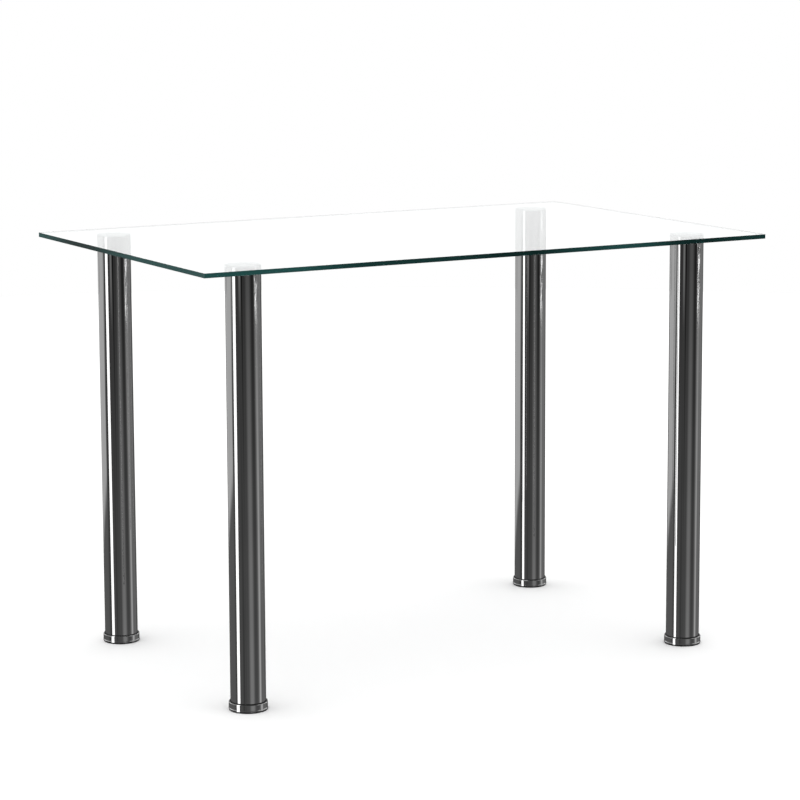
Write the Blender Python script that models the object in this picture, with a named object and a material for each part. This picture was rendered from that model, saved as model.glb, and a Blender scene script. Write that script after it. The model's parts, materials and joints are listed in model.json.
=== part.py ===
"""A glass dining table on four round steel legs, each on a foot that screws out to level it.

Lengths are in metres. The frame has +Z up and its origin on the floor, under the middle of the
top. X runs along the table and Y across it: the front is -Y and the left is -X.

From top to bottom, one leg is a metal disc bonded under the glass, a soft gasket, a stud in the
disc, and a tube whose welded plate and nut screw onto the stud. The tube's lower end holds a
nylon plug with a captive nut. A stud in that nut carries the foot cup. A nylon liner fills the
cup's mouth and shows as a thin ring round the tube. A nylon glide is snapped into the cup's
underside, and it stays still on the floor while the cup is turned.
"""

import math

import bmesh
import bpy
from mathutils import Vector

MM = 0.001

# Driving dimensions
TABLE_LENGTH = 1100 * MM
TABLE_WIDTH = 700 * MM
TABLE_HEIGHT = 750 * MM
GLASS_THICKNESS = 8 * MM
GLASS_CORNER_RADIUS = 1.5 * MM
GLASS_ARRIS = 0.5 * MM  # the ground chamfer along each edge of the pane
LEG_FROM_END = 110 * MM  # from a short edge of the glass to a leg's axis
LEG_FROM_SIDE = 86 * MM  # from a long edge of the glass to a leg's axis
TUBE_RADIUS = 30 * MM
TUBE_WALL = 1.2 * MM
THREAD_RADIUS = 4.9 * MM  # an M10 thread, drawn plain
GAP = 0.3 * MM  # between pieces that touch

# Heights above the floor, with the feet screwed right in
GLASS_UNDERSIDE = TABLE_HEIGHT - GLASS_THICKNESS
GLIDE_FLANGE_TOP = 1.8 * MM
GLIDE_HEIGHT = 3.6 * MM
CUP_BOTTOM = GLIDE_FLANGE_TOP + GAP
CUP_FLOOR_UNDERSIDE = GLIDE_HEIGHT + GAP
CUP_FLOOR_TOP = CUP_FLOOR_UNDERSIDE + 2.8 * MM
CUP_HEIGHT = 14.5 * MM
LINER_BOTTOM = CUP_FLOOR_TOP + GAP
LINER_TOP = CUP_HEIGHT + 1.2 * MM
PLUG_BOTTOM = CUP_FLOOR_TOP + GAP
PLUG_FLANGE_TOP = PLUG_BOTTOM + 1.5 * MM
PLUG_WEB_TOP = PLUG_FLANGE_TOP + 3 * MM
PLUG_TOP = 27 * MM
TUBE_BOTTOM = PLUG_FLANGE_TOP + GAP
FOOT_NUT_BOTTOM = 14.3 * MM
FOOT_STUD_TOP = 45 * MM
GASKET_TOP = GLASS_UNDERSIDE - GAP
GASKET_THICKNESS = 1.5 * MM
TUBE_TOP = GASKET_TOP - GASKET_THICKNESS - GAP
DISC_TOP = GLASS_UNDERSIDE - GAP
DISC_THICKNESS = 6 * MM
DISC_CEILING = 1.2 * MM  # the metal left above the disc's blind thread
PLATE_TOP = DISC_TOP - DISC_THICKNESS - 1.2 * MM
PLATE_THICKNESS = 3 * MM
TOP_STUD_BOTTOM = PLATE_TOP - 20 * MM

# Radii
BORE_RADIUS = TUBE_RADIUS - TUBE_WALL
THREAD_HOLE_RADIUS = THREAD_RADIUS + GAP
DISC_RADIUS = 25 * MM
GASKET_INNER_RADIUS = 26 * MM
STUD_HEAD_RADIUS = 9 * MM
STUD_HEAD_THICKNESS = 1.2 * MM
LINER_INNER_RADIUS = TUBE_RADIUS + GAP
LINER_OUTER_RADIUS = 31.6 * MM
CUP_INNER_RADIUS = LINER_OUTER_RADIUS + GAP
CUP_BAND_RADIUS = 32.9 * MM
CUP_BEAD_RADIUS = 33.3 * MM
CUP_GROOVE_RADIUS = 32.6 * MM
GLIDE_FLANGE_RADIUS = 32.4 * MM
GLIDE_NECK_RADIUS = 30.6 * MM
GLIDE_BEAD_RADIUS = 31.0 * MM
PLUG_WALL = 2.4 * MM
PLUG_HUB_RADIUS = 13 * MM
PLUG_FLANGE_RADIUS = TUBE_RADIUS - 0.1 * MM
NUT_ACROSS_FLATS = 17 * MM
NUT_HEIGHT = 8.4 * MM

# How finely round things are divided. INNER_STEPS and SMALL_STEPS are multiples of six, so that
# a six-sided shape has its corners
TUBE_STEPS = 48
CUP_STEPS = 32
INNER_STEPS = 24
SMALL_STEPS = 18
CORNER_STEPS = 4

CORNERS = {
    "front_left": (-1, -1),
    "front_right": (1, -1),
    "rear_left": (-1, 1),
    "rear_right": (1, 1),
}


# Materials


def material(name, colour, roughness, metallic=0.0, transmission=0.0):
    made = bpy.data.materials.new(name)
    made.use_nodes = True
    made.diffuse_color = (*colour, 1.0)
    shader = made.node_tree.nodes["Principled BSDF"]
    shader.inputs["Base Color"].default_value = (*colour, 1.0)
    shader.inputs["Roughness"].default_value = roughness
    shader.inputs["Metallic"].default_value = metallic
    shader.inputs["Transmission Weight"].default_value = transmission
    return made


def table_materials():
    return {
        "glass": material("clear_glass", (0.86, 0.95, 0.93), 0.02, transmission=1.0),
        "chrome": material("polished_steel", (0.62, 0.62, 0.63), 0.08, metallic=1.0),
        "zinc": material("zinc_plated_steel", (0.58, 0.59, 0.60), 0.35, metallic=1.0),
        "aluminium": material("aluminium", (0.72, 0.73, 0.74), 0.30, metallic=1.0),
        "gasket": material("clear_pvc", (0.80, 0.83, 0.82), 0.30, transmission=0.5),
        "nylon": material("black_nylon", (0.02, 0.02, 0.02), 0.55),
    }


# Meshes


def mesh_from(shape, name):
    """Turns a bmesh into a mesh with faces pointing out and round parts shaded smooth."""
    bmesh.ops.recalc_face_normals(shape, faces=shape.faces)
    mesh = bpy.data.meshes.new(name)
    shape.to_mesh(mesh)
    shape.free()
    mesh.shade_smooth()
    mesh.set_sharp_from_angle(angle=math.radians(35))
    return mesh


def turned(name, profile, steps):
    """Spins a profile of (radius, height) points round Z.

    A profile that starts and ends on the axis makes a full body. Any other one is closed from
    its last point to its first, and makes a ring.
    """
    shape = bmesh.new()
    points = [shape.verts.new((radius, 0.0, height)) for radius, height in profile]
    edges = [shape.edges.new(pair) for pair in zip(points, points[1:])]
    if profile[0][0] > 0.0:
        edges.append(shape.edges.new((points[-1], points[0])))
    bmesh.ops.spin(
        shape,
        geom=points + edges,
        axis=(0.0, 0.0, 1.0),
        cent=(0.0, 0.0, 0.0),
        angle=math.tau,
        steps=steps,
        use_merge=True,
    )
    bmesh.ops.remove_doubles(shape, verts=shape.verts, dist=0.01 * MM)
    return mesh_from(shape, name)


def rounded_rectangle(length, width, radius):
    """The outline of the pane, anticlockwise, with CORNER_STEPS chords round each corner."""
    outline = []
    for quarter, (side_x, side_y) in enumerate(((1, 1), (-1, 1), (-1, -1), (1, -1))):
        centre = Vector((side_x * (length / 2 - radius), side_y * (width / 2 - radius), 0.0))
        for step in range(CORNER_STEPS + 1):
            angle = (quarter + step / CORNER_STEPS) * math.pi / 2
            outline.append(centre + radius * Vector((math.cos(angle), math.sin(angle), 0.0)))
    return outline


def glass_mesh():
    """The pane: an extruded rounded rectangle with both of its rims ground to a small chamfer."""
    shape = bmesh.new()
    outline = rounded_rectangle(TABLE_LENGTH, TABLE_WIDTH, GLASS_CORNER_RADIUS)
    bottom = shape.faces.new([shape.verts.new(point) for point in outline])
    raised = bmesh.ops.extrude_face_region(shape, geom=[bottom])["geom"]
    top_points = [item for item in raised if isinstance(item, bmesh.types.BMVert)]
    bmesh.ops.translate(shape, verts=top_points, vec=(0.0, 0.0, GLASS_THICKNESS))
    rims = [edge for edge in shape.edges if abs(edge.verts[0].co.z - edge.verts[1].co.z) < MM]
    bmesh.ops.bevel(shape, geom=rims, offset=GLASS_ARRIS, segments=1, affect="EDGES")
    return mesh_from(shape, "glass_top")


def tube_mesh():
    return turned(
        "leg_tube",
        [
            (BORE_RADIUS, TUBE_BOTTOM),
            (TUBE_RADIUS, TUBE_BOTTOM),
            (TUBE_RADIUS, TUBE_TOP),
            (BORE_RADIUS, TUBE_TOP),
        ],
        TUBE_STEPS,
    )


def disc_mesh():
    """The bonded disc, with a chamfered lower rim and a blind thread that opens downwards."""
    bottom = DISC_TOP - DISC_THICKNESS
    chamfer = 1 * MM
    return turned(
        "bond_disc",
        [
            (0.0, DISC_TOP),
            (DISC_RADIUS, DISC_TOP),
            (DISC_RADIUS, bottom + chamfer),
            (DISC_RADIUS - chamfer, bottom),
            (THREAD_HOLE_RADIUS, bottom),
            (THREAD_HOLE_RADIUS, DISC_TOP - DISC_CEILING),
            (0.0, DISC_TOP - DISC_CEILING),
        ],
        INNER_STEPS,
    )


def gasket_mesh():
    bottom = GASKET_TOP - GASKET_THICKNESS
    return turned(
        "leg_gasket",
        [
            (GASKET_INNER_RADIUS, bottom),
            (TUBE_RADIUS, bottom),
            (TUBE_RADIUS, GASKET_TOP),
            (GASKET_INNER_RADIUS, GASKET_TOP),
        ],
        CUP_STEPS,
    )


def stud_mesh(name, bottom, top):
    """A plain stud with chamfered ends."""
    chamfer = 1 * MM
    return turned(
        name,
        [
            (0.0, bottom),
            (THREAD_RADIUS - chamfer, bottom),
            (THREAD_RADIUS, bottom + chamfer),
            (THREAD_RADIUS, top - chamfer),
            (THREAD_RADIUS - chamfer, top),
            (0.0, top),
        ],
        SMALL_STEPS,
    )


def plate_mesh():
    bottom = PLATE_TOP - PLATE_THICKNESS
    rim = BORE_RADIUS - GAP
    return turned(
        "leg_top_plate",
        [
            (THREAD_HOLE_RADIUS, bottom),
            (rim, bottom),
            (rim, PLATE_TOP),
            (THREAD_HOLE_RADIUS, PLATE_TOP),
        ],
        INNER_STEPS,
    )


def hexagon(across_flats):
    """A function that gives the distance from a hexagon's centre to its side at an angle."""
    sixth = math.pi / 3
    return lambda angle: across_flats / 2 / math.cos(angle % sixth - sixth / 2)


def circle(radius):
    return lambda angle: radius


def ringed(name, loops, steps):
    """A ring-shaped body through loops of (distance at an angle, height), each bridged to the next."""
    shape = bmesh.new()
    angles = [math.tau * step / steps for step in range(steps)]
    rings = []
    for distance, height in loops:
        ring = [(distance(angle) * math.cos(angle), distance(angle) * math.sin(angle)) for angle in angles]
        rings.append([shape.verts.new((x, y, height)) for x, y in ring])
    for ring, following in zip(rings, rings[1:] + rings[:1]):
        for step in range(steps):
            after = (step + 1) % steps
            shape.faces.new((ring[step], ring[after], following[after], following[step]))
    return mesh_from(shape, name)


def nut_mesh(name, bottom):
    top = bottom + NUT_HEIGHT
    hole = circle(THREAD_HOLE_RADIUS)
    side = hexagon(NUT_ACROSS_FLATS)
    return ringed(name, [(hole, bottom), (side, bottom), (side, top), (hole, top)], SMALL_STEPS)


def plug_mesh():
    """The nylon plug: a flange under the tube's rim, a thin wall, and a hub whose six-sided seat
    keeps the nut from turning.
    """
    bore = circle(THREAD_HOLE_RADIUS)
    flange = circle(PLUG_FLANGE_RADIUS)
    outside = circle(BORE_RADIUS - GAP)
    inside = circle(BORE_RADIUS - GAP - PLUG_WALL)
    hub = circle(PLUG_HUB_RADIUS)
    seat = hexagon(NUT_ACROSS_FLATS + 2 * GAP)
    seat_height = FOOT_NUT_BOTTOM - GAP
    return ringed(
        "foot_plug",
        [
            (bore, PLUG_BOTTOM),
            (flange, PLUG_BOTTOM),
            (flange, PLUG_FLANGE_TOP),
            (outside, PLUG_FLANGE_TOP),
            (outside, PLUG_TOP),
            (inside, PLUG_TOP),
            (inside, PLUG_WEB_TOP),
            (hub, PLUG_WEB_TOP),
            (hub, PLUG_TOP),
            (seat, PLUG_TOP),
            (seat, seat_height),
            (bore, seat_height),
        ],
        INNER_STEPS,
    )


def foot_stud_mesh():
    """The foot's stud, with the flat head that the cup's floor rests on."""
    chamfer = 1 * MM
    head_bottom = CUP_FLOOR_UNDERSIDE
    head_top = head_bottom + STUD_HEAD_THICKNESS
    return turned(
        "foot_stud",
        [
            (0.0, head_bottom),
            (STUD_HEAD_RADIUS, head_bottom),
            (STUD_HEAD_RADIUS, head_top),
            (THREAD_RADIUS, head_top),
            (THREAD_RADIUS, FOOT_STUD_TOP - chamfer),
            (THREAD_RADIUS - chamfer, FOOT_STUD_TOP),
            (0.0, FOOT_STUD_TOP),
        ],
        SMALL_STEPS,
    )


def cup_mesh():
    """The foot cup: a bead at its base, a groove, and a plain band up to its lip."""
    head_seat_radius = STUD_HEAD_RADIUS + GAP
    head_seat_top = CUP_FLOOR_UNDERSIDE + STUD_HEAD_THICKNESS + GAP
    recess_radius = GLIDE_BEAD_RADIUS + GAP
    snap_radius = GLIDE_NECK_RADIUS + GAP
    lip_chamfer = 0.4 * MM
    return turned(
        "foot_cup",
        [
            (snap_radius, CUP_BOTTOM),
            (CUP_BEAD_RADIUS - 0.8 * MM, CUP_BOTTOM),
            (CUP_BEAD_RADIUS, CUP_BOTTOM + 0.8 * MM),
            (CUP_BEAD_RADIUS, CUP_BOTTOM + 1.8 * MM),
            (CUP_GROOVE_RADIUS, CUP_BOTTOM + 2.4 * MM),
            (CUP_BAND_RADIUS, CUP_BOTTOM + 3.0 * MM),
            (CUP_BAND_RADIUS, CUP_HEIGHT - lip_chamfer),
            (CUP_BAND_RADIUS - lip_chamfer, CUP_HEIGHT),
            (CUP_INNER_RADIUS, CUP_HEIGHT),
            (CUP_INNER_RADIUS, CUP_FLOOR_TOP),
            (THREAD_HOLE_RADIUS, CUP_FLOOR_TOP),
            (THREAD_HOLE_RADIUS, head_seat_top),
            (head_seat_radius, head_seat_top),
            (head_seat_radius, CUP_FLOOR_UNDERSIDE),
            (recess_radius, CUP_FLOOR_UNDERSIDE),
            (recess_radius, CUP_BOTTOM + 0.9 * MM),
            (snap_radius, CUP_BOTTOM + 0.5 * MM),
        ],
        CUP_STEPS,
    )


def liner_mesh():
    """The nylon sleeve in the cup's mouth, which stands a little proud of the lip."""
    return turned(
        "foot_liner",
        [
            (LINER_INNER_RADIUS, LINER_BOTTOM),
            (LINER_OUTER_RADIUS, LINER_BOTTOM),
            (LINER_OUTER_RADIUS, LINER_TOP),
            (LINER_INNER_RADIUS, LINER_TOP),
        ],
        TUBE_STEPS,
    )


def glide_mesh():
    """The glide: a flange on the floor, and a neck with a snap bead inside the cup."""
    return turned(
        "foot_glide",
        [
            (0.0, 0.0),
            (GLIDE_FLANGE_RADIUS - 0.5 * MM, 0.0),
            (GLIDE_FLANGE_RADIUS, 0.5 * MM),
            (GLIDE_FLANGE_RADIUS, GLIDE_FLANGE_TOP),
            (GLIDE_NECK_RADIUS, GLIDE_FLANGE_TOP),
            (GLIDE_NECK_RADIUS, GLIDE_HEIGHT - 0.7 * MM),
            (GLIDE_BEAD_RADIUS, GLIDE_HEIGHT - 0.5 * MM),
            (GLIDE_BEAD_RADIUS, GLIDE_HEIGHT),
            (0.0, GLIDE_HEIGHT),
        ],
        CUP_STEPS,
    )


# Objects


def add(name, mesh, surface, parent=None):
    """One named piece. Its mesh may be shared, so its material is the object's own."""
    if not mesh.materials:
        mesh.materials.append(surface)
    piece = bpy.data.objects.new(name, mesh)
    piece.parent = parent
    bpy.context.scene.collection.objects.link(piece)
    return piece


def leg_meshes():
    """Each leg piece's mesh and the key of its material. The four legs share them."""
    disc_bore_top = DISC_TOP - DISC_CEILING
    nut_top = PLATE_TOP - PLATE_THICKNESS - GAP
    return {
        "bond_disc": (disc_mesh(), "aluminium"),
        "leg_gasket": (gasket_mesh(), "gasket"),
        "top_stud": (stud_mesh("top_stud", TOP_STUD_BOTTOM, disc_bore_top - GAP), "zinc"),
        "leg_tube": (tube_mesh(), "chrome"),
        "leg_top_plate": (plate_mesh(), "zinc"),
        "leg_weld_nut": (nut_mesh("leg_weld_nut", nut_top - NUT_HEIGHT), "zinc"),
        "foot_plug": (plug_mesh(), "nylon"),
        "foot_nut": (nut_mesh("foot_nut", FOOT_NUT_BOTTOM), "zinc"),
        "foot_stud": (foot_stud_mesh(), "zinc"),
        "foot_cup": (cup_mesh(), "chrome"),
        "foot_liner": (liner_mesh(), "nylon"),
        "foot_glide": (glide_mesh(), "nylon"),
    }


def build():
    for old in list(bpy.data.objects):
        bpy.data.objects.remove(old)
    surfaces = table_materials()
    glass = add("glass_top", glass_mesh(), surfaces["glass"])
    glass.location.z = GLASS_UNDERSIDE
    pieces = leg_meshes()
    for corner, (side_x, side_y) in CORNERS.items():
        axis = bpy.data.objects.new(f"{corner}_leg", None)
        axis.location.x = side_x * (TABLE_LENGTH / 2 - LEG_FROM_END)
        axis.location.y = side_y * (TABLE_WIDTH / 2 - LEG_FROM_SIDE)
        bpy.context.scene.collection.objects.link(axis)
        for piece, (mesh, surface) in pieces.items():
            add(f"{corner}_{piece}", mesh, surfaces[surface], parent=axis)


build()
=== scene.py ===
"""The looks of a glass dining table on four round polished steel legs.

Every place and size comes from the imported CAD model, in metres. X runs along the table, Y runs
across it and Z is up. Each CAD node gets a finer piece that rides on the same body.
"""

import json
import math

import bmesh
import bpy
from mathutils import Matrix, Vector


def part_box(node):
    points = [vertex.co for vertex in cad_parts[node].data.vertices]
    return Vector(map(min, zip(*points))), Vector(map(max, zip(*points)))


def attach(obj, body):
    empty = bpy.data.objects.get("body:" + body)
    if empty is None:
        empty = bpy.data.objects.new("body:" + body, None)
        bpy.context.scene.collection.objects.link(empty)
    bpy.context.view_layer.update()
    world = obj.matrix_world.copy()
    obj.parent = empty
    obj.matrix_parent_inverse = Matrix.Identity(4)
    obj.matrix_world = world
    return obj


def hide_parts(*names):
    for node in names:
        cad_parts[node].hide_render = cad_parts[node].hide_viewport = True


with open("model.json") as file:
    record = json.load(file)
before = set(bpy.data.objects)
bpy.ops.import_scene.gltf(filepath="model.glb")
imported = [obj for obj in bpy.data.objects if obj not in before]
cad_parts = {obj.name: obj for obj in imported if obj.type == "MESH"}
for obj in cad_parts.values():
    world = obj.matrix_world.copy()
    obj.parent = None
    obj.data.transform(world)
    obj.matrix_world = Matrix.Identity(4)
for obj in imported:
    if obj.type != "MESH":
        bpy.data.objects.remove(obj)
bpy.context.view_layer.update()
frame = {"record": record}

MM = 0.001


# Shader nodes

# Noise lies mostly between the first two values. The second two give more contrast.
NOISE_RANGE = (0.3, 0.7)
NOISE_MIDDLE = (0.35, 0.65)


def new_material(name):
    """A new material with a bare Principled shader, its node tree and the shader."""
    made = bpy.data.materials.new(name)
    made.use_nodes = True
    tree = made.node_tree
    return made, tree, tree.nodes["Principled BSDF"]


def math_node(tree, operation, *values):
    """The output of a Math node. A value is a number or another node's output."""
    made = tree.nodes.new("ShaderNodeMath")
    made.operation = operation
    for value, socket in zip(values, made.inputs):
        if isinstance(value, bpy.types.NodeSocket):
            tree.links.new(value, socket)
        else:
            socket.default_value = value
    return made.outputs[0]


def map_range(tree, value, low, high, to_low, to_high, smooth=True):
    """Maps low..high to to_low..to_high, and holds the end values outside that range."""
    made = tree.nodes.new("ShaderNodeMapRange")
    made.interpolation_type = "SMOOTHSTEP" if smooth else "LINEAR"
    tree.links.new(value, made.inputs["Value"])
    made.inputs["From Min"].default_value = low
    made.inputs["From Max"].default_value = high
    made.inputs["To Min"].default_value = to_low
    made.inputs["To Max"].default_value = to_high
    return made.outputs["Result"]


def noise(tree, scale, detail, stretch=(1.0, 1.0, 1.0)):
    """Noise over a piece's own coordinates, in metres. A large stretch makes it finer that way."""
    place = tree.nodes.new("ShaderNodeTexCoord")
    stretched = tree.nodes.new("ShaderNodeVectorMath")
    stretched.operation = "MULTIPLY"
    stretched.inputs[1].default_value = stretch
    tree.links.new(place.outputs["Object"], stretched.inputs[0])
    made = tree.nodes.new("ShaderNodeTexNoise")
    made.inputs["Scale"].default_value = scale
    made.inputs["Detail"].default_value = detail
    tree.links.new(stretched.outputs[0], made.inputs["Vector"])
    return made.outputs["Fac"]


def mixed_colour(tree, share, *colours):
    """A blend of two colours. A colour is four numbers or another node's output."""
    made = tree.nodes.new("ShaderNodeMix")
    made.data_type = "RGBA"
    tree.links.new(share, made.inputs[0])
    for colour, socket in zip(colours, made.inputs[6:8]):
        if isinstance(colour, bpy.types.NodeSocket):
            tree.links.new(colour, socket)
        else:
            socket.default_value = colour
    return made.outputs[2]


def bump(tree, height, strength, distance):
    made = tree.nodes.new("ShaderNodeBump")
    made.inputs["Strength"].default_value = strength
    made.inputs["Distance"].default_value = distance
    tree.links.new(height, made.inputs["Height"])
    return made.outputs["Normal"]


# Materials


CLEAR = (1.0, 1.0, 1.0, 1.0)
# The edges' colours: the glass's own green, darkened as painted shade for light lost along the pane's
# length, and a lighter green for patches of painted reflection.
EDGE_PAINTED_SHADE_GREEN = (0.006, 0.024, 0.022, 1.0)
EDGE_PAINTED_REFLECTION_GREEN = (0.021, 0.086, 0.080, 1.0)
EDGE_CLEARNESS = 0.45
GLASS_BODY_COLOUR = (0.0, 0.34, 0.33, 1.0)
GLASS_ABSORPTION = 4.8


def upright_share(tree):
    """1 on a pane's edges and 0 on its two broad faces."""
    facing = tree.nodes.new("ShaderNodeTexCoord")
    split = tree.nodes.new("ShaderNodeSeparateXYZ")
    tree.links.new(facing.outputs["Normal"], split.inputs[0])
    return math_node(tree, "SUBTRACT", 1.0, math_node(tree, "ABSOLUTE", split.outputs["Z"]))


def glass_material():
    """Float glass: colourless across its 8 mm, green along its length, with ground edges. Their green
    is the glass's own tint, darkened with painted shade for light lost along the pane's length and
    lit with patches of painted reflection.
    """
    made, tree, shader = new_material("clear_glass")
    shader.inputs["IOR"].default_value = 1.52
    shader.inputs["Roughness"].default_value = 0.0
    upright = upright_share(tree)
    polish = math_node(tree, "MULTIPLY", noise(tree, 40.0, 3.0, (1.0, 1.0, 12.0)), upright)
    tree.links.new(bump(tree, polish, 0.5, 0.01 * MM), shader.inputs["Normal"])
    # Noise lays patches of painted reflection over the edges' painted shade.
    painted_reflection_patches = map_range(tree, noise(tree, 3.5, 1.0), *NOISE_MIDDLE, 0.0, 1.0)
    edge = mixed_colour(tree, painted_reflection_patches, EDGE_PAINTED_SHADE_GREEN, EDGE_PAINTED_REFLECTION_GREEN)
    tree.links.new(mixed_colour(tree, upright, CLEAR, edge), shader.inputs["Base Color"])
    clearness = map_range(tree, upright, 0.0, 1.0, 1.0, EDGE_CLEARNESS, smooth=False)
    tree.links.new(clearness, shader.inputs["Transmission Weight"])
    absorb = tree.nodes.new("ShaderNodeVolumeAbsorption")
    absorb.inputs["Color"].default_value = GLASS_BODY_COLOUR
    absorb.inputs["Density"].default_value = GLASS_ABSORPTION
    tree.links.new(absorb.outputs[0], tree.nodes["Material Output"].inputs["Volume"])
    return made


def grey(tree, shader, level, warmth=0.0):
    """Sets the base colour to a grey that varies, with a touch more red than blue."""
    colour = tree.nodes.new("ShaderNodeCombineColor")
    for channel, tint in enumerate((warmth, 0.0, -warmth)):
        tree.links.new(math_node(tree, "ADD", level, tint), colour.inputs[channel])
    tree.links.new(colour.outputs[0], shader.inputs["Base Color"])


def chrome_material():
    """Mirror-polished steel with very fine lines along the tube and a breath of haze."""
    made, tree, shader = new_material("polished_steel")
    shader.inputs["Metallic"].default_value = 1.0
    haze = noise(tree, 9.0, 4.0)
    lines = noise(tree, 60.0, 5.0, (60.0, 60.0, 1.0))
    haze_share = math_node(tree, "MULTIPLY", haze, 0.7)
    wear = math_node(tree, "MULTIPLY_ADD", lines, 0.3, haze_share)
    tree.links.new(map_range(tree, wear, *NOISE_MIDDLE, 0.015, 0.045), shader.inputs["Roughness"])
    grey(tree, shader, map_range(tree, haze, *NOISE_RANGE, 0.60, 0.64))
    return made


def zinc_material():
    """Bright zinc plating: satin, slightly blotched, with the passivation's faint cool tint."""
    made, tree, shader = new_material("zinc_plated_steel")
    shader.inputs["Metallic"].default_value = 1.0
    blotches = noise(tree, 220.0, 3.0)
    grain = noise(tree, 2500.0, 3.0)
    tree.links.new(map_range(tree, blotches, *NOISE_RANGE, 0.24, 0.38), shader.inputs["Roughness"])
    grey(tree, shader, map_range(tree, blotches, *NOISE_RANGE, 0.52, 0.62), -0.012)
    tree.links.new(bump(tree, grain, 0.4, 0.01 * MM), shader.inputs["Normal"])
    return made


def aluminium_material():
    """Turned aluminium: fine rings round the axis."""
    made, tree, shader = new_material("aluminium")
    shader.inputs["Metallic"].default_value = 1.0
    place = tree.nodes.new("ShaderNodeTexCoord")
    flat = tree.nodes.new("ShaderNodeVectorMath")
    flat.operation = "MULTIPLY"
    flat.inputs[1].default_value = (1.0, 1.0, 0.0)
    tree.links.new(place.outputs["Object"], flat.inputs[0])
    length = tree.nodes.new("ShaderNodeVectorMath")
    length.operation = "LENGTH"
    tree.links.new(flat.outputs[0], length.inputs[0])
    rings = tree.nodes.new("ShaderNodeTexNoise")
    rings.noise_dimensions = "1D"
    rings.inputs["Scale"].default_value = 5000.0
    tree.links.new(length.outputs["Value"], rings.inputs["W"])
    ring = rings.outputs["Fac"]
    tree.links.new(map_range(tree, ring, *NOISE_RANGE, 0.22, 0.36), shader.inputs["Roughness"])
    grey(tree, shader, map_range(tree, ring, *NOISE_RANGE, 0.68, 0.76))
    tree.links.new(bump(tree, ring, 0.5, 0.01 * MM), shader.inputs["Normal"])
    return made


def nylon_material():
    """Black moulded nylon with a fine matt grain."""
    made, tree, shader = new_material("black_nylon")
    grain = noise(tree, 1500.0, 4.0)
    tree.links.new(map_range(tree, grain, *NOISE_RANGE, 0.45, 0.65), shader.inputs["Roughness"])
    grey(tree, shader, map_range(tree, grain, *NOISE_RANGE, 0.005, 0.008))
    tree.links.new(bump(tree, grain, 0.5, 0.02 * MM), shader.inputs["Normal"])
    return made


def gasket_material():
    """Soft clear PVC, a little cloudy."""
    made, tree, shader = new_material("clear_pvc")
    shader.inputs["Transmission Weight"].default_value = 0.8
    shader.inputs["IOR"].default_value = 1.5
    cloud = noise(tree, 200.0, 2.0)
    tree.links.new(map_range(tree, cloud, *NOISE_RANGE, 0.2, 0.35), shader.inputs["Roughness"])
    grey(tree, shader, map_range(tree, cloud, *NOISE_RANGE, 0.84, 0.90), -0.01)
    return made


MATERIALS = {
    "clear_glass": glass_material(),
    "polished_steel": chrome_material(),
    "zinc_plated_steel": zinc_material(),
    "aluminium": aluminium_material(),
    "clear_pvc": gasket_material(),
    "black_nylon": nylon_material(),
}


# Meshes. Each is drawn round its leg's axis, at its true height, from its CAD node's box.

SHARP_ANGLE = math.radians(30)
FILLET_STEPS = 5
CORNER_STEPS = 12
ROUND_STEPS = 128
TUBE_STEPS = 160
THREAD_PITCH = 1.5 * MM
THREAD_DEPTH = 0.85 * MM
THREAD_STEPS = 36
# Across one pitch: the way up, and the depth below the crest, as shares of the pitch and the depth
THREAD_PROFILE = ((0.0, 1.0), (0.12, 1.0), (0.5, 0.0), (0.62, 0.0))
THREAD_END = 1.0 * MM
HOLE_RADIUS = 5.2 * MM
TUBE_WALL = 1.2 * MM
NUT_STEPS = 72
PLUG_RIBS = 6
PLUG_RIB_WIDTH = 1.6 * MM
PLUG_ARC_STEPS = 8


def finished(shape, name):
    """Turns a bmesh into a mesh with outward faces, smooth where it is round."""
    bmesh.ops.remove_doubles(shape, verts=shape.verts, dist=0.001 * MM)
    bmesh.ops.recalc_face_normals(shape, faces=shape.faces)
    mesh = bpy.data.meshes.new(name)
    shape.to_mesh(mesh)
    shape.free()
    mesh.shade_smooth()
    mesh.set_sharp_from_angle(angle=SHARP_ANGLE)
    return mesh


def rounded(corners):
    """A profile through (radius, height, fillet) corners, with an arc at each fillet."""
    points = []
    count = len(corners)
    for index, (radius, height, fillet) in enumerate(corners):
        here = Vector((radius, height))
        if not fillet:
            points.append(here)
            continue
        before = (Vector(corners[index - 1][:2]) - here).normalized()
        after = (Vector(corners[(index + 1) % count][:2]) - here).normalized()
        half = before.angle(after) / 2
        start = here + before * (fillet / math.tan(half))
        centre = here + (before + after).normalized() * (fillet / math.sin(half))
        arm = start - centre
        turn = math.pi - 2 * half
        sense = -1.0 if before.x * after.y - before.y * after.x > 0 else 1.0
        for step in range(FILLET_STEPS + 1):
            points.append(centre + Matrix.Rotation(sense * turn * step / FILLET_STEPS, 2) @ arm)
    return points


def spin(shape, profile, steps):
    """Adds a profile spun round Z. One that doesn't reach the axis is closed into a ring."""
    points = [shape.verts.new((point.x, 0.0, point.y)) for point in profile]
    edges = [shape.edges.new(pair) for pair in zip(points, points[1:])]
    if profile[0].x > 0.0:
        edges.append(shape.edges.new((points[-1], points[0])))
    bmesh.ops.spin(
        shape,
        geom=points + edges,
        axis=(0.0, 0.0, 1.0),
        cent=(0.0, 0.0, 0.0),
        angle=math.tau,
        steps=steps,
        use_merge=True,
    )


def turned(name, corners, steps=ROUND_STEPS):
    shape = bmesh.new()
    spin(shape, rounded(corners), steps)
    return finished(shape, name)


def ringed(name, rings):
    """A ring-shaped body: each loop of points is joined to the next, and the last to the first."""
    shape = bmesh.new()
    loops = [[shape.verts.new(point) for point in ring] for ring in rings]
    for loop, following in zip(loops, loops[1:] + loops[:1]):
        for index, corner in enumerate(loop):
            after = (index + 1) % len(loop)
            shape.faces.new((corner, loop[after], following[after], following[index]))
    return finished(shape, name)


def polar(radius, angle, height):
    return Vector((radius * math.cos(angle), radius * math.sin(angle), height))


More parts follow.
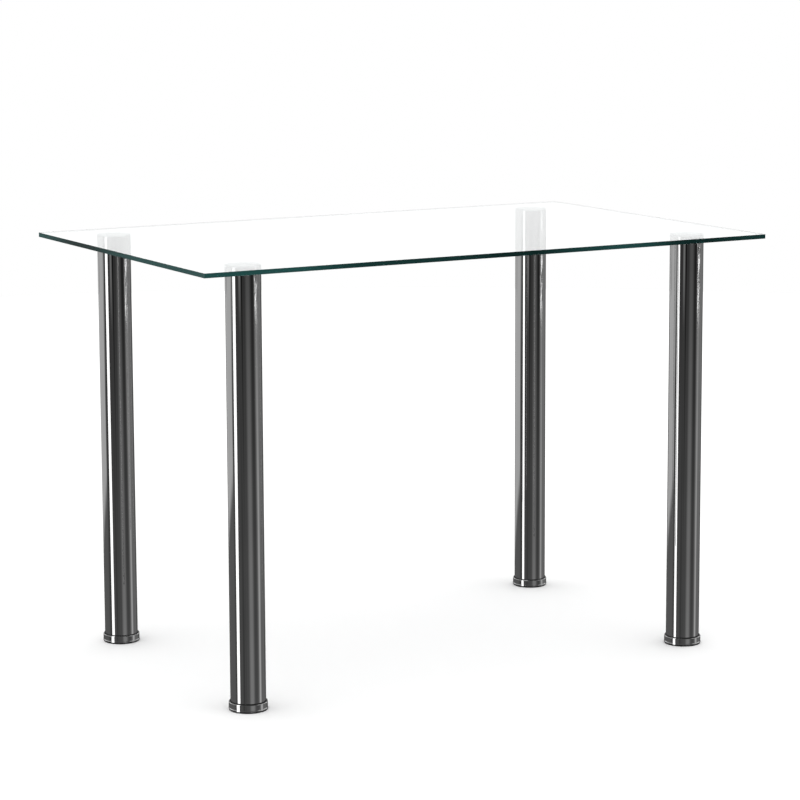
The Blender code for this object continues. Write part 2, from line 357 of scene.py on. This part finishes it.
def add_thread(shape, bottom, top, crest):
    """Adds a right-hand thread with chamfered ends. Its ends are left open."""
    turns = math.ceil((top - bottom) / THREAD_PITCH) + 2
    tip = crest - THREAD_END
    columns = []
    for index in range(turns * THREAD_STEPS):
        column = []
        for rise, depth in THREAD_PROFILE:
            height = bottom + THREAD_PITCH * (index / THREAD_STEPS + rise - 1.0)
            height = min(max(height, bottom), top)
            cone = tip + min(height - bottom, top - height)
            radius = min(crest - depth * THREAD_DEPTH, cone)
            column.append(shape.verts.new(polar(radius, math.tau * index / THREAD_STEPS, height)))
        columns.append(column)
    for index, (column, beside) in enumerate(zip(columns, columns[1:])):
        above = index + THREAD_STEPS
        if above + 1 < len(columns):
            column = column + [columns[above][0]]
            beside = beside + [columns[above + 1][0]]
        for low, high in zip(range(len(column)), range(1, len(column))):
            shape.faces.new((column[low], beside[low], beside[high], column[high]))


def finished_thread(shape, name):
    bmesh.ops.remove_doubles(shape, verts=shape.verts, dist=0.001 * MM)
    bmesh.ops.holes_fill(shape, edges=[edge for edge in shape.edges if edge.is_boundary])
    return finished(shape, name)


def pane_outline(low, high, radius):
    """A rounded rectangle between two corners, anticlockwise."""
    outline = []
    corners = ((high.x, high.y), (low.x, high.y), (low.x, low.y), (high.x, low.y))
    for quarter, (x, y) in enumerate(corners):
        centre = Vector((x - math.copysign(radius, x), y - math.copysign(radius, y), 0.0))
        for step in range(CORNER_STEPS + 1):
            angle = (quarter + step / CORNER_STEPS) * math.pi / 2
            outline.append(centre + polar(radius, angle, 0.0))
    return outline


def pane_mesh(low, high):
    """The glass: flat polished edges between fine arrises, and tight corners."""
    arris = 0.3 * MM
    corner = 1.5 * MM
    shape = bmesh.new()
    loops = []
    stations = ((low.z, arris), (low.z + arris, 0.0), (high.z - arris, 0.0), (high.z, arris))
    for height, inset in stations:
        step_in = Vector((inset, inset, 0.0))
        outline = pane_outline(low + step_in, high - step_in, corner - inset)
        loops.append([shape.verts.new((point.x, point.y, height)) for point in outline])
    for lower, upper in zip(loops, loops[1:]):
        for index, vertex in enumerate(lower):
            after = (index + 1) % len(lower)
            shape.faces.new((vertex, lower[after], upper[after], upper[index]))
    shape.faces.new(loops[0])
    shape.faces.new(loops[-1])
    return finished(shape, "glass_pane")


def disc_mesh(low, high):
    """The bonded disc, with a blind hole for the stud."""
    radius = high.x
    ceiling = high.z - 1.2 * MM
    return turned(
        "bond_disc",
        [
            (0.0, high.z, 0.0),
            (radius, high.z, 0.3 * MM),
            (radius, low.z + 1 * MM, 0.2 * MM),
            (radius - 1 * MM, low.z, 0.2 * MM),
            (HOLE_RADIUS + 0.5 * MM, low.z, 0.1 * MM),
            (HOLE_RADIUS, low.z + 0.5 * MM, 0.1 * MM),
            (HOLE_RADIUS, ceiling, 0.0),
            (0.0, ceiling, 0.0),
        ],
    )


def gasket_mesh(low, high):
    inside = 26 * MM
    return turned(
        "leg_gasket",
        [
            (inside, low.z, 0.3 * MM),
            (high.x, low.z, 0.4 * MM),
            (high.x, high.z, 0.4 * MM),
            (inside, high.z, 0.3 * MM),
        ],
    )


def tube_mesh(low, high):
    bore = high.x - TUBE_WALL
    lip = 0.25 * MM
    return turned(
        "leg_tube",
        [(bore, low.z, lip), (high.x, low.z, lip), (high.x, high.z, lip), (bore, high.z, lip)],
        TUBE_STEPS,
    )


def plate_mesh(low, high):
    """The plate in the tube's top, with a weld bead under its rim."""
    bead = 1.4 * MM
    return turned(
        "leg_top_plate",
        [
            (HOLE_RADIUS, low.z, 0.2 * MM),
            (high.x - bead, low.z, 0.3 * MM),
            (high.x - 0.3 * MM, low.z - bead, 0.5 * MM),
            (high.x, low.z - 0.6 * MM, 0.2 * MM),
            (high.x, high.z, 0.4 * MM),
            (HOLE_RADIUS, high.z, 0.2 * MM),
        ],
    )


def top_stud_mesh(low, high):
    shape = bmesh.new()
    add_thread(shape, low.z, high.z, high.x)
    return finished_thread(shape, "top_stud")


def foot_stud_mesh(low, high):
    """The foot's stud: a flat head under the cup's floor, and a long thread."""
    crest = 4.9 * MM
    head_top = low.z + 1.2 * MM
    shape = bmesh.new()
    profile = rounded(
        [
            (0.0, low.z, 0.0),
            (high.x, low.z, 0.3 * MM),
            (high.x, head_top, 0.3 * MM),
            (crest - THREAD_END, head_top, 0.0),
        ]
    )
    spin(shape, profile, THREAD_STEPS)
    add_thread(shape, head_top, high.z, crest)
    return finished_thread(shape, "foot_stud")


def hexagon(across_flats, angle):
    """The distance from a hexagon's centre to its side."""
    sixth = math.pi / 3
    return across_flats / 2 / math.cos(angle % sixth - sixth / 2)


def nut_mesh(low, high):
    """A hexagon nut: each end is turned to a 30 degree cone, and the hole is countersunk."""
    flats = high.y - low.y
    face = 0.95 * flats / 2
    sink = 0.5 * MM
    angles = [math.tau * step / NUT_STEPS for step in range(NUT_STEPS)]
    sides = [hexagon(flats, angle) for angle in angles]
    drops = [(side - face) * math.tan(math.pi / 6) for side in sides]

    def circle(radius, height):
        return [polar(radius, angle, height) for angle in angles]

    def rim(height, sense):
        corners = zip(sides, angles, drops)
        return [polar(side, angle, height + sense * drop) for side, angle, drop in corners]

    return ringed(
        "hexagon_nut",
        [
            circle(HOLE_RADIUS, low.z + sink),
            circle(HOLE_RADIUS + sink, low.z),
            circle(face, low.z),
            rim(low.z, 1.0),
            rim(high.z, -1.0),
            circle(face, high.z),
            circle(HOLE_RADIUS + sink, high.z),
            circle(HOLE_RADIUS, high.z - sink),
        ],
    )


def plug_stations(hub, wall):
    """Places round the plug, as (angle at the hub, angle at the wall, on a rib or not)."""
    stations = []
    at_hub, at_wall = (math.asin(PLUG_RIB_WIDTH / 2 / radius) for radius in (hub, wall))
    for rib in range(PLUG_RIBS):
        middle = (rib + 0.5) * math.tau / PLUG_RIBS
        following = middle + math.tau / PLUG_RIBS
        for side, raised in ((-1, False), (-1, True), (1, True), (1, False)):
            stations.append((middle + side * at_hub, middle + side * at_wall, raised))
        for step in range(1, PLUG_ARC_STEPS):
            share = step / PLUG_ARC_STEPS
            near = middle + at_hub + share * (following - middle - 2 * at_hub)
            far = middle + at_wall + share * (following - middle - 2 * at_wall)
            stations.append((near, far, False))
    return stations


def plug_mesh(low, high):
    """The nylon plug: a flange, a thin wall, and a hub with a six-sided seat, joined by ribs."""
    wall_out = 28.5 * MM
    wall_in = 26.1 * MM
    hub = 13 * MM
    seat_flats = 17.6 * MM
    flange_top = low.z + 1.5 * MM
    web_top = flange_top + 3 * MM
    rib_top = high.z - 4 * MM
    seat_bottom = low.z + 7 * MM
    soften = 0.4 * MM
    stations = plug_stations(hub, wall_in)

    def wall_ring(radius, height):
        return [polar(radius, far, height) for near, far, raised in stations]

    def hub_ring(radius, height):
        return [polar(radius, near, height) for near, far, raised in stations]

    def seat_ring(height):
        return [polar(hexagon(seat_flats, near), near, height) for near, far, raised in stations]

    floors = [rib_top if raised else web_top for near, far, raised in stations]
    return ringed(
        "foot_plug",
        [
            hub_ring(HOLE_RADIUS, low.z),
            wall_ring(high.x - soften, low.z),
            wall_ring(high.x, low.z + soften),
            wall_ring(high.x, flange_top),
            wall_ring(wall_out, flange_top),
            wall_ring(wall_out, high.z - 1.5 * MM),
            wall_ring(wall_out - soften, high.z),
            wall_ring(wall_in, high.z),
            [polar(wall_in, far, floor) for (near, far, raised), floor in zip(stations, floors)],
            [polar(hub, near, floor) for (near, far, raised), floor in zip(stations, floors)],
            hub_ring(hub, high.z - soften),
            hub_ring(hub - soften, high.z),
            seat_ring(high.z),
            seat_ring(seat_bottom),
            hub_ring(HOLE_RADIUS, seat_bottom),
        ],
    )


def cup_mesh(low, high):
    """The foot cup: a bead over the glide, a plain band, and a thin lip round the liner."""
    bead = high.x
    band = bead - 0.4 * MM
    bore = 31.9 * MM
    base = low.z
    snap = 30.9 * MM
    recess = 31.3 * MM
    floor_under = base + 1.8 * MM
    floor_top = floor_under + 2.8 * MM
    seat = 9.3 * MM
    seat_top = floor_under + 1.5 * MM
    return turned(
        "foot_cup",
        [
            (snap, base, 0.1 * MM),
            (bead, base, 0.7 * MM),
            (bead, base + 1.8 * MM, 0.5 * MM),
            (band, base + 2.7 * MM, 0.4 * MM),
            (band, high.z - 0.8 * MM, 0.4 * MM),
            (band - 0.4 * MM, high.z, 0.1 * MM),
            (bore, high.z, 0.1 * MM),
            (bore, floor_top, 0.3 * MM),
            (HOLE_RADIUS, floor_top, 0.1 * MM),
            (HOLE_RADIUS, seat_top, 0.0),
            (seat, seat_top, 0.0),
            (seat, floor_under, 0.1 * MM),
            (recess, floor_under, 0.1 * MM),
            (recess, base + 0.9 * MM, 0.05 * MM),
            (snap, base + 0.5 * MM, 0.05 * MM),
        ],
        TUBE_STEPS,
    )


def liner_mesh(low, high):
    inside = 30.3 * MM
    return turned(
        "foot_liner",
        [
            (inside, low.z, 0.2 * MM),
            (high.x, low.z, 0.2 * MM),
            (high.x, high.z, 0.4 * MM),
            (inside, high.z, 0.3 * MM),
        ],
        TUBE_STEPS,
    )


def glide_mesh(low, high):
    """The glide: a flange on the floor, and a neck with a snap bead inside the cup."""
    flange = high.x
    neck = 30.6 * MM
    bead = 31.0 * MM
    return turned(
        "foot_glide",
        [
            (0.0, low.z, 0.0),
            (flange, low.z, 0.5 * MM),
            (flange, low.z + 1.8 * MM, 0.3 * MM),
            (neck, low.z + 1.8 * MM, 0.1 * MM),
            (neck, high.z - 0.8 * MM, 0.1 * MM),
            (bead, high.z - 0.5 * MM, 0.1 * MM),
            (bead, high.z, 0.2 * MM),
            (0.0, high.z, 0.0),
        ],
    )


# Pieces

FINE = {
    "glass_top": pane_mesh,
    "bond_disc": disc_mesh,
    "leg_gasket": gasket_mesh,
    "top_stud": top_stud_mesh,
    "leg_tube": tube_mesh,
    "leg_top_plate": plate_mesh,
    "leg_weld_nut": nut_mesh,
    "foot_plug": plug_mesh,
    "foot_nut": nut_mesh,
    "foot_stud": foot_stud_mesh,
    "foot_cup": cup_mesh,
    "foot_liner": liner_mesh,
    "foot_glide": glide_mesh,
}


def leg_axis(cad_node):
    """The floor point under a node: its leg's axis, or the middle of the table."""
    low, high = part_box(cad_node)
    middle = (low + high) / 2
    return Vector((middle.x, middle.y, 0.0))


def build_piece(cad_node, make, slot, body):
    """A finished piece in place of a CAD node, on the node's own body."""
    axis = leg_axis(cad_node)
    low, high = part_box(cad_node)
    piece = bpy.data.objects.new(f"{cad_node}_fine", make(low - axis, high - axis))
    piece.location = axis
    piece.data.materials.append(MATERIALS[slot])
    bpy.context.scene.collection.objects.link(piece)
    flatten = piece.modifiers.new("flat_faces_shade_flat", "WEIGHTED_NORMAL")
    flatten.keep_sharp = True
    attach(piece, body)
    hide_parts(cad_node)


def build_pieces():
    slots = {row["node"]: row["material_slot"] for row in frame["record"]["subparts"]}
    for body, cad_nodes in frame["record"]["behaviour"]["bodies"].items():
        for cad_node in cad_nodes:
            kind = cad_node.split("_", 2)[-1] if cad_node not in FINE else cad_node
            build_piece(cad_node, FINE[kind], slots[cad_node], body)


build_pieces()


# Camera, floor and light

CAMERA_YAW = math.radians(29.13)
CAMERA_PITCH = math.radians(8.65)
CAMERA_ROLL = math.radians(-0.23)
CAMERA_PLACE = Vector((-2.4399, -4.3787, 1.3012))
CAMERA_LENS = 126.66
CAMERA_SHIFT = -0.0625  # the photo's uprights converge less than an unshifted lens draws them


def build_camera():
    data = bpy.data.cameras.new("camera")
    data.lens = CAMERA_LENS
    data.sensor_width = 36.0
    data.shift_y = CAMERA_SHIFT
    data.clip_end = 200.0
    camera = bpy.data.objects.new("camera", data)
    heading = Matrix.Rotation(-CAMERA_YAW, 4, "Z")
    tilt = Matrix.Rotation(math.pi / 2 - CAMERA_PITCH, 4, "X")
    roll = Matrix.Rotation(CAMERA_ROLL, 4, "Z")
    camera.matrix_world = Matrix.Translation(CAMERA_PLACE) @ heading @ tilt @ roll
    bpy.context.scene.collection.objects.link(camera)
    bpy.context.scene.camera = camera


FLOOR_RADIUS = 5.0
FLOOR_DROP = 0.02 * MM
FLOOR_COLOUR = (0.8, 0.8, 0.8, 1.0)


def floor_material():
    """Matt white paint above, and nothing below."""
    made, tree, shader = new_material("floor_paint")
    shader.inputs["Base Color"].default_value = FLOOR_COLOUR
    shader.inputs["Roughness"].default_value = 1.0
    shader.inputs["Specular IOR Level"].default_value = 0.0
    clear = tree.nodes.new("ShaderNodeBsdfTransparent")
    side = tree.nodes.new("ShaderNodeNewGeometry")
    mix = tree.nodes.new("ShaderNodeMixShader")
    tree.links.new(side.outputs["Backfacing"], mix.inputs["Fac"])
    tree.links.new(shader.outputs[0], mix.inputs[1])
    tree.links.new(clear.outputs[0], mix.inputs[2])
    tree.links.new(mix.outputs[0], tree.nodes["Material Output"].inputs["Surface"])
    return made


def build_floor():
    """A wide white floor that no mirror shows. A camera below it sees through it."""
    shape = bmesh.new()
    bmesh.ops.create_circle(shape, cap_ends=True, segments=96, radius=FLOOR_RADIUS)
    mesh = bpy.data.meshes.new("floor")
    shape.to_mesh(mesh)
    shape.free()
    mesh.materials.append(floor_material())
    floor = bpy.data.objects.new("floor", mesh)
    floor.location.z = -FLOOR_DROP
    floor.visible_glossy = False
    bpy.context.scene.collection.objects.link(floor)


# The room that the steel mirrors. Azimuths and elevations are in degrees: azimuth 0 is towards the
# camera from the table, and -90 is on the camera's left. ROOM and LEFT_WALL_LEVELS are brightnesses
# at the two elevations of HORIZON_BAND.
HORIZON_BAND = (-7.0, -15.0)
ROOM = (0.045, 0.10)

# Things that stand upright in the room, each as its middle, its half width and its border's softness
LEFT_WALL = (-133.0, 50.0, 4.0)
LEFT_WALL_LEVELS = (0.56, 0.50)
LEFT_FLOOR_LEVEL = 0.13
LEFT_FLOOR_LINE = (0.02, -9.6)  # its slope against azimuth, and its elevation at azimuth 0
LEFT_FLOOR_BLUR = 0.4
DARK_DOOR = (-127.7, 2.6, 1.0)
DARK_DOOR_FOOT = (-7.3, -7.6)
DARK_DOOR_LEVEL = 0.2
CREASED_SHEET = (88.0, 11.0, 3.0)
CREASED_SHEET_ENDS = ((-7.4, -8.3), (-5.6, -4.8))
CREASES_PER_DEGREE = (0.11, 3.0)
CREASE_WIDTH = (0.01, 0.06)
CREASE_LEVELS = (3.0, 0.07)

# Panels, each in front of those before it: middle, half width, softness, two elevations, two levels
PANELS = (
    (-67.0, 9.0, 3.0, -5.0, -6.3, 0.75, 0.06),
    (-79.5, 3.5, 2.5, -7.0, -9.5, 0.42, 0.10),
    (-21.0, 6.0, 4.0, -7.0, -8.2, 0.22, 0.06),
    (-7.5, 3.5, 2.0, -7.0, -13.0, 0.005, 0.08),
    (30.0, 13.0, 9.0, -7.0, -15.0, 0.11, 0.27),
    (59.0, 7.0, 5.0, -7.0, -15.0, 0.02, 0.09),
    (126.0, 52.0, 6.0, -7.0, -15.0, 0.24, 0.17),
    (147.0, 7.0, 4.0, -7.0, -15.0, 0.04, 0.07),
    (170.0, 6.0, 3.0, -7.0, -15.0, 0.85, 0.60),
    (-165.0, 7.0, 3.0, -7.0, -15.0, 0.07, 0.05),
    (90.0, 7.0, 6.0, -7.0, -15.0, 0.28, 0.55),
)

# Overhead and far below
CEILING = 1.15
HIGH_CEILING = 0.45
CEILING_FADE = (10.0, 18.0)
CEILING_FOOT = (2.0, 4.5)
CEILING_GAP = (0.0, 62.0, 8.0)
CEILING_GAP_LEVEL = 0.10
BLACK_FLOOR = (-33.0, -40.0)
BLACK_FLOOR_LEVEL = 0.015

# What is seen through the glass is white, but for two black flags at the ends of light's way through
# the rear and right edges. They draw the thin grey line along those edges.
FLAGS = (58.0, -122.0)
FLAG_SHAPE = (13.0, 4.0)
FLAG_TOP = (-3.0, -1.0)
FLAG_LEVEL = 0.02

# The light on matt surfaces, such as the floor
AMBIENT = 1.55


def panel_shape(tree, azimuth, middle, half_width, softness):
    """1 on a panel and 0 beside it."""
    turned_by = math_node(tree, "WRAP", math_node(tree, "SUBTRACT", azimuth, middle), 180.0, -180.0)
    away = math_node(tree, "ABSOLUTE", turned_by)
    return map_range(tree, away, half_width - softness, half_width + softness, 1.0, 0.0)


def over(tree, under, level, shape):
    """One brightness laid over another, where a shape is 1."""
    mix = tree.nodes.new("ShaderNodeMix")
    for value, socket in ((shape, mix.inputs[0]), (under, mix.inputs[2]), (level, mix.inputs[3])):
        if isinstance(value, bpy.types.NodeSocket):
            tree.links.new(value, socket)
        else:
            socket.default_value = value
    return mix.outputs[0]


def add_left_wall(tree, level, azimuth, elevation):
    """The pale wall on the left, with the edge of the dark floor along its foot and a door in it."""
    slope, height = LEFT_FLOOR_LINE
    floor_line = math_node(tree, "MULTIPLY_ADD", azimuth, slope, height)
    above_line = math_node(tree, "SUBTRACT", elevation, floor_line)
    on_wall = map_range(tree, above_line, -LEFT_FLOOR_BLUR, LEFT_FLOOR_BLUR, 0.0, 1.0)
    wall = map_range(tree, elevation, *HORIZON_BAND, *LEFT_WALL_LEVELS, smooth=False)
    wall = over(tree, LEFT_FLOOR_LEVEL, wall, on_wall)
    above_foot = map_range(tree, elevation, *DARK_DOOR_FOOT, 1.0, 0.0)
    door = math_node(tree, "MULTIPLY", panel_shape(tree, azimuth, *DARK_DOOR), above_foot)
    wall = over(tree, wall, DARK_DOOR_LEVEL, door)
    return over(tree, level, wall, panel_shape(tree, azimuth, *LEFT_WALL))


def add_panels(tree, level, azimuth, elevation):
    for middle, half_width, softness, high, low, high_level, low_level in PANELS:
        shape = panel_shape(tree, azimuth, middle, half_width, softness)
        panel = map_range(tree, elevation, high, low, high_level, low_level, smooth=False)
        level = over(tree, level, panel, shape)
    return level


def add_creased_sheet(tree, level, azimuth, elevation):
    """Bright creases on a dark film, which the steel mirrors as thin wavy lines."""
    across, up = CREASES_PER_DEGREE
    place = tree.nodes.new("ShaderNodeCombineXYZ")
    tree.links.new(math_node(tree, "MULTIPLY", azimuth, across), place.inputs["X"])
    tree.links.new(math_node(tree, "MULTIPLY", elevation, up), place.inputs["Y"])
    folds = tree.nodes.new("ShaderNodeTexNoise")
    folds.inputs["Scale"].default_value = 1.0
    folds.inputs["Detail"].default_value = 1.0
    folds.inputs["Distortion"].default_value = 1.0
    tree.links.new(place.outputs[0], folds.inputs["Vector"])
    from_crease = math_node(tree, "ABSOLUTE", math_node(tree, "SUBTRACT", folds.outputs["Fac"], 0.5))
    creases = map_range(tree, from_crease, *CREASE_WIDTH, *CREASE_LEVELS)
    sheet = panel_shape(tree, azimuth, *CREASED_SHEET)
    for end in CREASED_SHEET_ENDS:
        sheet = math_node(tree, "MULTIPLY", sheet, map_range(tree, elevation, *end, 1.0, 0.0))
    return over(tree, level, creases, sheet)


def mirrored_level(tree, azimuth, elevation):
    """The brightness of the room by direction, as the steel mirrors it."""
    level = map_range(tree, elevation, *HORIZON_BAND, *ROOM, smooth=False)
    level = add_left_wall(tree, level, azimuth, elevation)
    level = add_panels(tree, level, azimuth, elevation)
    level = add_creased_sheet(tree, level, azimuth, elevation)
    level = over(tree, level, BLACK_FLOOR_LEVEL, map_range(tree, elevation, *BLACK_FLOOR, 0.0, 1.0))
    ceiling = map_range(tree, elevation, *CEILING_FADE, CEILING, HIGH_CEILING)
    ceiling = over(tree, ceiling, CEILING_GAP_LEVEL, panel_shape(tree, azimuth, *CEILING_GAP))
    return over(tree, level, ceiling, map_range(tree, elevation, *CEILING_FOOT, 0.0, 1.0))


def level_through_glass(tree, azimuth, elevation):
    """White, with the two black flags."""
    level = 1.0
    below_top = map_range(tree, elevation, *FLAG_TOP, 1.0, 0.0)
    for middle in FLAGS:
        flag = math_node(tree, "MULTIPLY", panel_shape(tree, azimuth, middle, *FLAG_SHAPE), below_top)
        level = over(tree, level, FLAG_LEVEL, flag)
    return level


def sky_direction(tree):
    """The azimuth and elevation that a point of the world lies at."""
    place = tree.nodes.new("ShaderNodeTexCoord")
    turn = tree.nodes.new("ShaderNodeVectorRotate")
    turn.rotation_type = "Z_AXIS"
    turn.inputs["Angle"].default_value = CAMERA_YAW
    tree.links.new(place.outputs["Generated"], turn.inputs["Vector"])
    split = tree.nodes.new("ShaderNodeSeparateXYZ")
    tree.links.new(turn.outputs[0], split.inputs[0])
    x, y, z = split.outputs
    towards_camera = math_node(tree, "MULTIPLY", y, -1.0)
    azimuth = math_node(tree, "DEGREES", math_node(tree, "ARCTAN2", x, towards_camera))
    elevation = math_node(tree, "DEGREES", math_node(tree, "ARCSINE", z))
    return azimuth, elevation


def build_world():
    """A white room to the eye and to the floor, and a darker studio to a mirror."""
    world = bpy.data.worlds.new("studio")
    world.use_nodes = True
    world.cycles.sampling_method = "NONE"
    tree = world.node_tree
    tree.nodes.clear()
    azimuth, elevation = sky_direction(tree)
    path = tree.nodes.new("ShaderNodeLightPath")
    mirrored = mirrored_level(tree, azimuth, elevation)
    level = over(tree, AMBIENT, mirrored, path.outputs["Is Glossy Ray"])
    through = level_through_glass(tree, azimuth, elevation)
    level = over(tree, level, through, path.outputs["Is Transmission Ray"])
    level = over(tree, level, 1.0, path.outputs["Is Camera Ray"])
    background = tree.nodes.new("ShaderNodeBackground")
    background.inputs["Color"].default_value = (1.0, 1.0, 1.0, 1.0)
    tree.links.new(level, background.inputs["Strength"])
    output = tree.nodes.new("ShaderNodeOutputWorld")
    tree.links.new(background.outputs[0], output.inputs["Surface"])
    bpy.context.scene.world = world


# The softbox left of the table. It runs on below the floor, as its image in a glossy floor would.
SOFTBOX_MIDDLE = Vector((-4.5, -0.40, 0.5))
SOFTBOX_WIDTH = 1.35
SOFTBOX_HEIGHT = 6.0
SOFTBOX_RADIANCE = 1.9


def build_softbox():
    """It draws the white line down each leg. Only glossy surfaces see it."""
    light = bpy.data.lights.new("softbox", "AREA")
    light.shape = "RECTANGLE"
    light.size = SOFTBOX_WIDTH
    light.size_y = SOFTBOX_HEIGHT
    light.energy = SOFTBOX_RADIANCE * math.pi * SOFTBOX_WIDTH * SOFTBOX_HEIGHT
    softbox = bpy.data.objects.new("softbox", light)
    softbox.location = SOFTBOX_MIDDLE
    softbox.rotation_euler = (math.pi / 2, 0.0, -math.pi / 2)
    softbox.visible_camera = False
    softbox.visible_diffuse = False
    softbox.visible_transmission = False
    softbox.visible_shadow = False
    bpy.context.scene.collection.objects.link(softbox)


LIGHT_BOUNCES = 32


def set_up_rendering():
    """Enough bounces for light that runs along the inside of the pane, and colours as they are."""
    cycles = bpy.context.scene.cycles
    cycles.max_bounces = LIGHT_BOUNCES
    cycles.glossy_bounces = LIGHT_BOUNCES
    cycles.transmission_bounces = LIGHT_BOUNCES
    bpy.context.scene.view_settings.view_transform = "Standard"


build_camera()
build_floor()
build_world()
build_softbox()
set_up_rendering()
